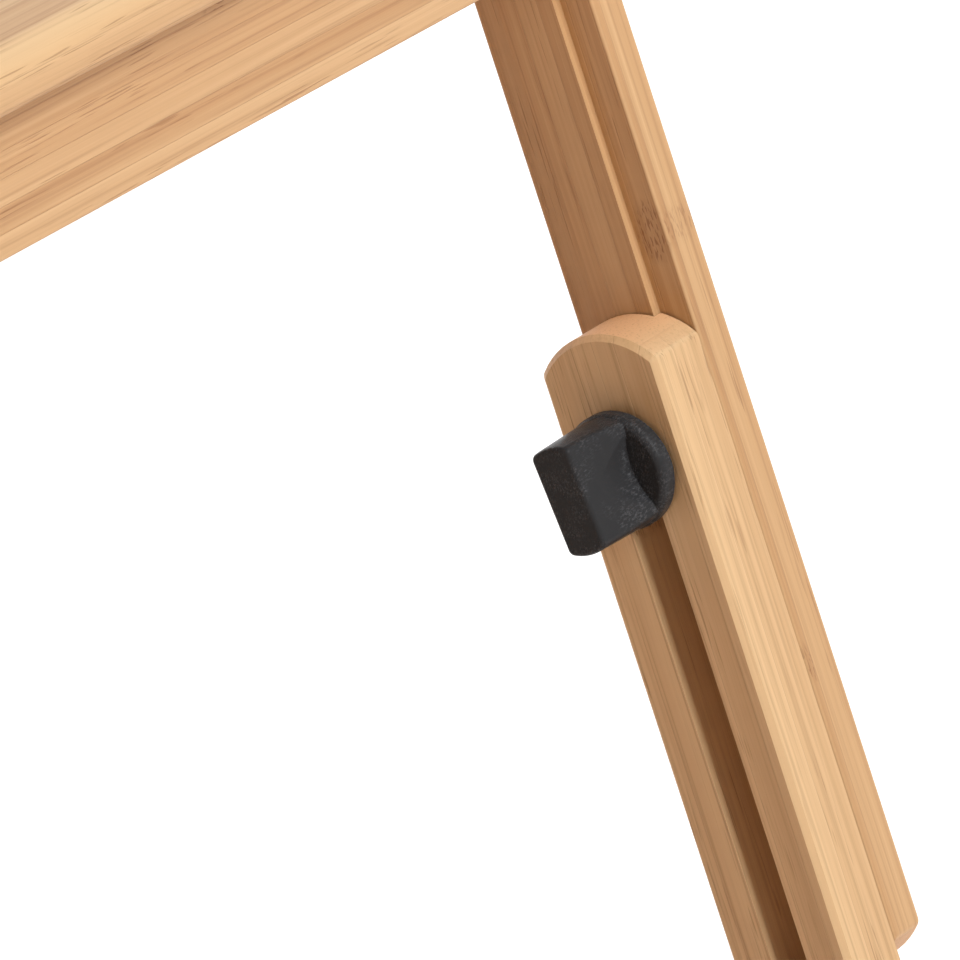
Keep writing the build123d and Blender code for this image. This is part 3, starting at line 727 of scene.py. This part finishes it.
class Outline(Enum):
    """Shape of a ring round a fastener's axis."""

    ROUND = "round"
    HEXAGON = "hexagon"
    CROSS = "cross"

    def reach(self, angle: float) -> float:
        """Distance from the axis to a ring of size 1.

        Args:
            angle: Angle round the axis.

        Returns:
            The distance: to the flats of a hexagon of size 1, and to the ends of a cross of size 1.
        """
        if self is Outline.HEXAGON:
            sixth = math.tau / 6
            return 1 / math.cos(angle % sixth - sixth / 2)
        if self is Outline.CROSS:
            quarter = math.tau / 4
            aside = min(angle % quarter, quarter - angle % quarter)
            return min(1 / math.cos(aside), CROSS_ARM / max(math.sin(aside), LEAST_SINE))
        return 1.0


@dataclass(frozen=True)
class Ring:
    """One ring of points round a fastener's axis, at a depth below its outer face."""

    depth: float
    radius: float
    outline: Outline = Outline.ROUND
    limit: float = math.inf

    def reach(self, angle: float) -> float:
        """Distance from the axis at an angle, cut back to the limit."""
        return min(self.radius * self.outline.reach(angle), self.limit)


@dataclass(frozen=True)
class Seat:
    """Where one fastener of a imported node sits, measured on the node's mesh."""

    face: Vector
    along: Vector
    length: float
    radius: float

    @classmethod
    def found(cls, node: bpy.types.Object, axis: Triple) -> list["Seat"]:
        """Measures every solid of a node.

        Args:
            node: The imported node.
            axis: The direction that its fasteners point in, either way.

        Returns:
            A seat for each solid, with the face at its wider end.
        """
        way = Vector(axis)
        seats = []
        for points in solids(node):
            corners = [[pick(point[i] for point in points) for i in range(3)] for pick in (min, max)]
            middle = (Vector(corners[0]) + Vector(corners[1])) / 2
            depths = [(point - middle).dot(way) for point in points]
            radii = [(point - middle - way * depth).length for point, depth in zip(points, depths)]
            half = max(depths)
            near, far = (
                max(radius for radius, depth in zip(radii, depths) if depth * end > half - END_ZONE)
                for end in (-1, 1)
            )
            along = way if near >= far else -way
            seats.append(cls(middle - along * half, along, 2 * half, max(radii)))
        return seats

    def point(self, ring: Ring, angle: float) -> Vector:
        """The point of a ring at an angle.

        Args:
            ring: A ring of the turned piece.
            angle: The angle about the seat's axis.

        Returns:
            The point's place.
        """
        side = self.along.orthogonal().normalized()
        spoke = side * math.cos(angle) + self.along.cross(side) * math.sin(angle)
        return self.face + self.along * ring.depth + spoke * ring.reach(angle)


def solids(node: bpy.types.Object) -> list[list[Vector]]:
    """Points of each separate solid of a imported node.

    Args:
        node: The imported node.

    Returns:
        The solids' points, in the order of the node's mesh.
    """
    mesh = bmesh.new()
    mesh.from_mesh(node.data)
    bmesh.ops.remove_doubles(mesh, verts=mesh.verts[:], dist=WELD)
    mesh.verts.index_update()
    taken: set[int] = set()
    found = []
    for start in mesh.verts:
        if start.index in taken:
            continue
        taken.add(start.index)
        spread = [start]
        for vert in spread:
            beside = [edge.other_vert(vert) for edge in vert.link_edges]
            fresh = [other for other in beside if other.index not in taken]
            taken.update(other.index for other in fresh)
            spread.extend(fresh)
        found.append([vert.co.copy() for vert in spread])
    mesh.free()
    return found


def turned(name: str, work: list[tuple[Seat, list[Ring]]], hollow: bool) -> bpy.types.Object:
    """Turns fasteners from their rings, as one piece.

    Args:
        name: The piece's name.
        work: A seat and its rings for each fastener.
        hollow: Whether the last ring joins the first, as round a bore, instead of both being closed.

    Returns:
        The piece.
    """
    steps = range(TURNED_STEPS)
    points: list[Vector] = []
    faces: list[list[int]] = []
    for seat, rings in work:
        rows = []
        for ring in rings:
            rows.append([len(points) + step for step in steps])
            points += [seat.point(ring, math.tau * step / TURNED_STEPS) for step in steps]
        for upper, lower in zip(rows, rows[1:] + rows[:1] if hollow else rows[1:]):
            faces += [[upper[step - 1], upper[step], lower[step], lower[step - 1]] for step in steps]
        if not hollow:
            faces += [rows[0], rows[-1]]
    mesh = bpy.data.meshes.new(name)
    mesh.from_pydata(points, [], faces)
    shell = bmesh.new()
    shell.from_mesh(mesh)
    bmesh.ops.recalc_face_normals(shell, faces=shell.faces[:])
    shell.to_mesh(mesh)
    shell.free()
    mesh.shade_smooth()
    mesh.set_sharp_from_angle(angle=SHARP_EDGE)
    piece = bpy.data.objects.new(name, mesh)
    bpy.context.scene.collection.objects.link(piece)
    return piece


@dataclass(frozen=True)
class Fastener:
    """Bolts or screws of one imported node, with a recess and a thread. Lengths are in millimetres."""

    node: str
    axis: Triple
    shank: float
    head_height: float
    rim_depth: float
    rim_width: float
    recess: Outline
    recess_radius: float
    recess_depth: float
    pitch: float
    tip: float
    countersunk: bool = False
    recess_floor_share: float = 0.45
    thread_share: float = 0.14
    rim_steps: int = 5

    def rings(self, seat: Seat) -> list[Ring]:
        """Rings from the floor of the recess over the head to the tip.

        Args:
            seat: Where the fastener sits.

        Returns:
            The rings.
        """
        wide, length = seat.radius / MM, seat.length / MM
        floor_share = self.recess_floor_share if self.recess is Outline.CROSS else 1.0
        profile = [(self.recess_depth, self.recess_radius * floor_share, self.recess)]
        profile.append((0.0, self.recess_radius, self.recess))
        for step in range(self.rim_steps + 1):
            angle = math.pi / 2 * step / self.rim_steps
            depth = self.rim_depth * (1 - math.cos(angle))
            profile.append((depth, wide - self.rim_width * (1 - math.sin(angle)), Outline.ROUND))
        if not self.countersunk:
            profile.append((self.head_height, wide, Outline.ROUND))
        profile.append((self.head_height, self.shank, Outline.ROUND))
        start, end = self.head_height + self.pitch, length - self.tip
        turns = math.floor((end - start) / self.pitch)
        root = self.shank * (1 - self.thread_share)
        for turn in range(turns):
            crest = end - (turns - turn) * self.pitch
            profile += [(crest, self.shank, Outline.ROUND), (crest + self.pitch / 2, root, Outline.ROUND)]
        point = root - self.tip / 2
        profile += [(end, self.shank, Outline.ROUND), (length, point, Outline.ROUND)]
        return [Ring(depth * MM, radius * MM, outline) for depth, radius, outline in profile]

    def build(self, node: bpy.types.Object) -> bpy.types.Object:
        """Turns every fastener of the node."""
        seats = Seat.found(node, self.axis)
        return turned(f"{self.node}_turned", [(seat, self.rings(seat)) for seat in seats], hollow=False)


@dataclass(frozen=True)
class Nut:
    """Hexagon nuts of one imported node, with chamfered corners. Lengths are in millimetres."""

    node: str
    axis: Triple
    bore: float
    chamfer: float = 0.45
    countersink: float = 0.4

    def rings(self, seat: Seat) -> list[Ring]:
        """Rings down the outside of the nut and back up its bore.

        Args:
            seat: Where the nut sits.

        Returns:
            The rings.
        """
        flat = seat.radius * math.cos(math.tau / 12)
        corner = seat.radius
        chamfer, sunk, bore = (size * MM for size in (self.chamfer, self.countersink, self.bore))
        rings = [Ring(0.0, bore + sunk), Ring(0.0, flat, Outline.HEXAGON, flat)]
        rings.append(Ring(chamfer / 2, flat, Outline.HEXAGON, (flat + corner) / 2))
        rings.append(Ring(chamfer, flat, Outline.HEXAGON))
        rings.append(Ring(seat.length, flat, Outline.HEXAGON))
        rings += [Ring(seat.length, bore), Ring(sunk, bore)]
        return rings

    def build(self, node: bpy.types.Object) -> bpy.types.Object:
        """Turns every nut of the node."""
        seats = Seat.found(node, self.axis)
        return turned(f"{self.node}_turned", [(seat, self.rings(seat)) for seat in seats], hollow=True)


def wood_screws(node: str, axis: Triple) -> Fastener:
    """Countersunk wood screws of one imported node.

    Args:
        node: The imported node.
        axis: The direction that they point in, either way.

    Returns:
        The screws.
    """
    return Fastener(
        node,
        axis,
        shank=1.75,
        head_height=2.0,
        rim_depth=0.12,
        rim_width=0.12,
        recess=Outline.CROSS,
        recess_radius=1.9,
        recess_depth=1.3,
        pitch=1.7,
        tip=2.6,
        countersunk=True,
    )


@dataclass
class Dresser:
    """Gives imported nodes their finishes, and puts turned fasteners in their places."""

    nodes: dict[str, bpy.types.Object]
    bodies: dict[str, str]
    workshop: Workshop

    def dress(self, material: bpy.types.Material, *names: str) -> None:
        """Puts one finish on some nodes.

        Args:
            material: The finish.
            names: The nodes.
        """
        for name in names:
            node = self.nodes[name]
            node.data.materials.clear()
            node.data.materials.append(material)
            LOG.info("dressed %s in %s", name, material.name)

    def bamboo(self, grain: Grain, *names: str, shade: Shade = Shade.MIDDLE) -> None:
        """Puts bamboo of one lie and shade on some nodes."""
        self.dress(self.workshop.bamboo(grain, shade), *names)

    def fasten(self, *fasteners: Union[Fastener, Nut]) -> None:
        """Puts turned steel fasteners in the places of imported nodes.

        Args:
            fasteners: The bolts, screws and nuts.
        """
        for fastener in fasteners:
            node = self.nodes[fastener.node]
            self.dress(self.workshop.steel, fastener.node)
            piece = fastener.build(node)
            piece.data.materials.append(self.workshop.steel)
            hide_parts(fastener.node)
            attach(piece, self.bodies[fastener.node])
            LOG.info("turned %s", piece.name)


@dataclass
class Tray:
    """The framed top with its aprons, rails, racks and leg hinges."""

    hinge_bolts: Fastener = Fastener(
        "leg_hinge_bolts",
        (0, 1, 0),
        shank=3.0,
        head_height=2.5,
        rim_depth=1.6,
        rim_width=2.9,
        recess=Outline.HEXAGON,
        recess_radius=2.0,
        recess_depth=1.7,
        pitch=1.0,
        tip=0.5,
    )
    hinge_nuts: Nut = Nut("leg_hinge_nuts", (0, 1, 0), bore=3.0)
    rack_screws: Fastener = wood_screws("rack_screws", (1, 0, 0))
    end_aprons: tuple[str, ...] = ("left_apron", "right_apron_front", "right_apron_back")

    def dress(self, dresser: Dresser) -> None:
        """Gives the tray's nodes their finishes and its fasteners their shapes.

        Args:
            dresser: What finds the nodes and puts the finishes on them.
        """
        dresser.bamboo(Grain.LENGTH_FLAT, "front_border", "back_border", "fixed_panel")
        dresser.bamboo(Grain.DEPTH_FLAT, "left_border", "right_border", "divider_strip")
        # The aprons are a deeper shade: partly their own tone, partly painted shade under the top's
        # overhang.
        dresser.bamboo(Grain.LENGTH_FLAT, "front_apron", "back_apron", shade=Shade.DEEP)
        dresser.bamboo(Grain.DEPTH_FLAT, *self.end_aprons, shade=Shade.DEEP)
        dresser.bamboo(Grain.LENGTH_UPRIGHT, "drawer_rails", "drawer_runners")
        dresser.bamboo(Grain.DEPTH_UPRIGHT, "divider_rail", "tilt_racks")
        dresser.bamboo(Grain.DEPTH_FLAT, "tray_dowels")
        dresser.dress(dresser.workshop.steel, "tilt_hinge_pins", "leg_hinge_washers")
        dresser.fasten(self.hinge_bolts, self.hinge_nuts, self.rack_screws)


@dataclass
class TiltPanel:
    """The tilting panel with its ledge, blocks and prop."""

    screws: Fastener = wood_screws("panel_screws", (0, 0, 1))

    def dress(self, dresser: Dresser) -> None:
        """Gives the panel's and the prop's nodes their finishes.

        Args:
            dresser: What finds the nodes and puts the finishes on them.
        """
        dresser.bamboo(Grain.LENGTH_FLAT, "tilt_panel", "laptop_ledge", "prop_bar")
        dresser.bamboo(Grain.DEPTH_UPRIGHT, "prop_blocks", "prop_arms")
        dresser.dress(dresser.workshop.steel, "prop_pins")
        dresser.fasten(self.screws)


@dataclass
class Drawer:
    """The side drawer."""

    pull_screw: Fastener = Fastener(
        "drawer_pull_screw",
        (1, 0, 0),
        shank=2.0,
        head_height=2.0,
        rim_depth=0.9,
        rim_width=1.6,
        recess=Outline.CROSS,
        recess_radius=2.1,
        recess_depth=1.3,
        pitch=0.7,
        tip=0.5,
    )

    def dress(self, dresser: Dresser) -> None:
        """Gives the drawer's nodes their finishes.

        Args:
            dresser: What finds the nodes and puts the finishes on them.
        """
        dresser.bamboo(Grain.DEPTH_FLAT, "drawer_front")
        dresser.bamboo(Grain.DEPTH_UPRIGHT, "drawer_back")
        dresser.bamboo(Grain.LENGTH_UPRIGHT, "drawer_sides", "drawer_pull")
        dresser.dress(dresser.workshop.plywood, "drawer_bottom")
        dresser.fasten(self.pull_screw)


@dataclass
class LegPair:
    """Two telescopic legs on one end of the table, with their foot bar, pads and clamps."""

    side: str
    grain: Grain
    front_knuckle: Optional[Triple] = None

    @property
    def clamp_bolts(self) -> Fastener:
        """Flat-headed bolts through the clamps.

        Returns:
            The bolts of both clamps.
        """
        return Fastener(
            f"{self.side}_clamp_bolts",
            (0, 1, 0),
            shank=3.0,
            head_height=2.6,
            rim_depth=0.5,
            rim_width=0.7,
            recess=Outline.HEXAGON,
            recess_radius=2.0,
            recess_depth=1.8,
            pitch=1.0,
            tip=0.5,
        )

    def dress(self, dresser: Dresser) -> None:
        """Gives the legs' nodes their finishes and their fasteners their shapes.

        Args:
            dresser: What finds the nodes and puts the finishes on them.
        """
        workshop = dresser.workshop
        for end in ("front", "back"):
            corner = f"{self.side}_{end}"
            spot = self.front_knuckle if end == "front" else None
            # Upper legs deeper, lower legs paler: partly their own tone, partly painted shade under the
            # table top and painted light lower down.
            dresser.dress(workshop.bamboo(self.grain, Shade.DEEP, spot), f"{corner}_upper_leg")
            dresser.bamboo(self.grain, f"{corner}_lower_leg", shade=Shade.PALE)
            dresser.dress(workshop.plastic, f"{corner}_knob")
            dresser.dress(workshop.brass, f"{corner}_knob_nut")
        dresser.bamboo(Grain.DEPTH_UPRIGHT, f"{self.side}_foot_bar")
        dresser.dress(workshop.steel, f"{self.side}_clamp_washers")
        dresser.dress(workshop.rubber, f"{self.side}_foot_pads")
        dresser.fasten(self.clamp_bolts, wood_screws(f"{self.side}_foot_bar_screws", (0, 1, 0)))


@dataclass
class Lamp:
    """A soft square lamp that is aimed at a point."""

    name: str
    place: Triple
    target: Triple
    size: float
    power: float

    def light(self) -> None:
        """Hangs the lamp."""
        data = bpy.data.lights.new(self.name, "AREA")
        data.shape = "SQUARE"
        data.size = self.size
        data.energy = self.power
        lamp = bpy.data.objects.new(self.name, data)
        lamp.location = self.place
        lamp.rotation_mode = "QUATERNION"
        lamp.rotation_quaternion = (Vector(self.target) - Vector(self.place)).to_track_quat("-Z", "Y")
        lamp.visible_camera = False
        bpy.context.scene.collection.objects.link(lamp)


@dataclass
class Studio:
    """Plain white floor, white surroundings and soft lamps, the strongest at the left end."""

    floor_radius: float = 40.0
    floor_sides: int = 96
    fill: Triple = (0.075, 0.054, 0.042)
    floor_shade: float = 0.60
    floor_glow: float = 0.62
    bounce: Triple = (0.86, 0.66, 0.53)
    lamps: tuple[Lamp, ...] = (
        Lamp("key_lamp", (-2.3, -0.1, 2.05), target=(-0.3, -0.1, 0.2), size=1.3, power=71.0),
        Lamp("top_lamp", (1.6, 0.2, 2.6), target=(0.0, 0.0, 0.25), size=1.2, power=36.0),
        Lamp("far_end_lamp", (2.4, -1.2, 0.95), target=(0.2, 0.0, 0.2), size=1.6, power=26.0),
        Lamp("front_lamp", (0.3, -2.6, 0.85), target=(0.0, 0.0, 0.2), size=1.6, power=24.0),
        Lamp("back_lamp", (-1.3, 2.2, 1.1), target=(-0.3, -0.1, 0.1), size=0.8, power=3.5),
    )

    def build(self) -> None:
        """Lays the floor, sets the surroundings and hangs the lamps."""
        self.lay_floor()
        self.surround()
        for lamp in self.lamps:
            lamp.light()

    def lay_floor(self) -> None:
        """Makes the floor: white with a shadow to the eye, and pale to the light that it returns."""
        rim = [math.tau * step / self.floor_sides for step in range(self.floor_sides)]
        corners = [(self.floor_radius * math.cos(a), self.floor_radius * math.sin(a), 0.0) for a in rim]
        mesh = bpy.data.meshes.new("studio_floor")
        mesh.from_pydata(corners, [], [range(self.floor_sides)])
        floor = bpy.data.objects.new("studio_floor", mesh)
        bpy.context.scene.collection.objects.link(floor)
        shade = (self.floor_shade,) * 3 + (1.0,)
        paint = Shader("floor_paint", Base_Color=shade, Roughness=0.9, Specular_IOR_Level=0.0)
        glow = paint.node("ShaderNodeEmission", sockets={"Color": WHITE, "Strength": self.floor_glow})
        lit = paint.node("ShaderNodeAddShader", sockets={0: glow, 1: paint.surface})
        returned = paint.node("ShaderNodeBsdfDiffuse", sockets={"Color": self.bounce + (1.0,)})
        paint.show(paint.node("ShaderNodeMixShader", sockets={0: paint.seen(), 1: returned, 2: lit}))
        mesh.materials.append(paint.material)

    def surround(self) -> None:
        """Makes the surroundings: white to the eye, and a soft even fill for the object."""
        world = bpy.data.worlds.new("studio")
        world.use_nodes = True
        graph = Graph(world.node_tree, "ShaderNodeOutputWorld")
        fill = graph.node("ShaderNodeBackground", sockets={"Color": self.fill + (1.0,), "Strength": 1.0})
        white = graph.node("ShaderNodeBackground", sockets={"Color": WHITE, "Strength": 1.0})
        graph.show(graph.node("ShaderNodeMixShader", sockets={0: graph.seen(), 1: fill, 2: white}))
        bpy.context.scene.world = world


@dataclass
class Viewpoint:
    """The photograph's camera, close on the left front leg's clamp. Angles are in degrees."""

    focus: Triple = (-0.35972, -0.1319, 0.17263)
    azimuth: float = 214.671
    elevation: float = 23.549
    roll: float = -1.348
    distance: float = 2.0
    pixels_per_metre: float = 5897.6
    focus_pixel: tuple[float, float] = (628.13, 465.91)
    frame_pixels: float = 960.0
    sensor: float = 36.0
    far: float = 200.0

    def build(self) -> None:
        """Sets up the camera."""
        azimuth, elevation, roll = (math.radians(a) for a in (self.azimuth, self.elevation, self.roll))
        level = math.cos(elevation)
        back = Vector((math.sin(azimuth) * level, -math.cos(azimuth) * level, math.sin(elevation)))
        flat_right = Vector((math.cos(azimuth), math.sin(azimuth), 0.0))
        flat_up = back.cross(flat_right)
        right = math.cos(roll) * flat_right + math.sin(roll) * flat_up
        up = math.cos(roll) * flat_up - math.sin(roll) * flat_right
        eye = Vector(self.focus) + back * self.distance
        middle = self.frame_pixels / 2
        aside = (self.focus_pixel[0] - middle) / self.pixels_per_metre
        above = (middle - self.focus_pixel[1]) / self.pixels_per_metre
        back = (eye - (Vector(self.focus) - right * aside - up * above)).normalized()
        right = (right - back * right.dot(back)).normalized()
        data = bpy.data.cameras.new("photograph")
        data.sensor_width = self.sensor
        data.lens = self.sensor * self.pixels_per_metre * self.distance / self.frame_pixels
        data.clip_end = self.far
        camera = bpy.data.objects.new("photograph", data)
        turn = Matrix((right, back.cross(right), back)).transposed()
        camera.matrix_world = Matrix.Translation(eye) @ turn.to_4x4()
        bpy.context.scene.collection.objects.link(camera)
        bpy.context.scene.camera = camera


def main() -> None:
    """Builds the scene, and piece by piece."""
    logging.basicConfig(level=logging.INFO, format="%(message)s")
    for leftover in list(bpy.data.objects):
        bpy.data.objects.remove(leftover)
    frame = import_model()
    bpy.context.scene.view_settings.view_transform = "Standard"
    members = frame["record"]["behaviour"]["bodies"]
    bodies = {node: body for body, nodes in members.items() for node in nodes}
    dresser = Dresser(frame["nodes"], bodies, Workshop.opened())
    left_legs = LegPair("left", Grain.LEFT_LEG, front_knuckle=LEFT_FRONT_KNUCKLE)
    parts = (Tray(), TiltPanel(), Drawer(), left_legs, LegPair("right", Grain.RIGHT_LEG))
    for part in parts:
        part.dress(dresser)
    Viewpoint().build()
    Studio().build()


if __name__ == "__main__":
    main()
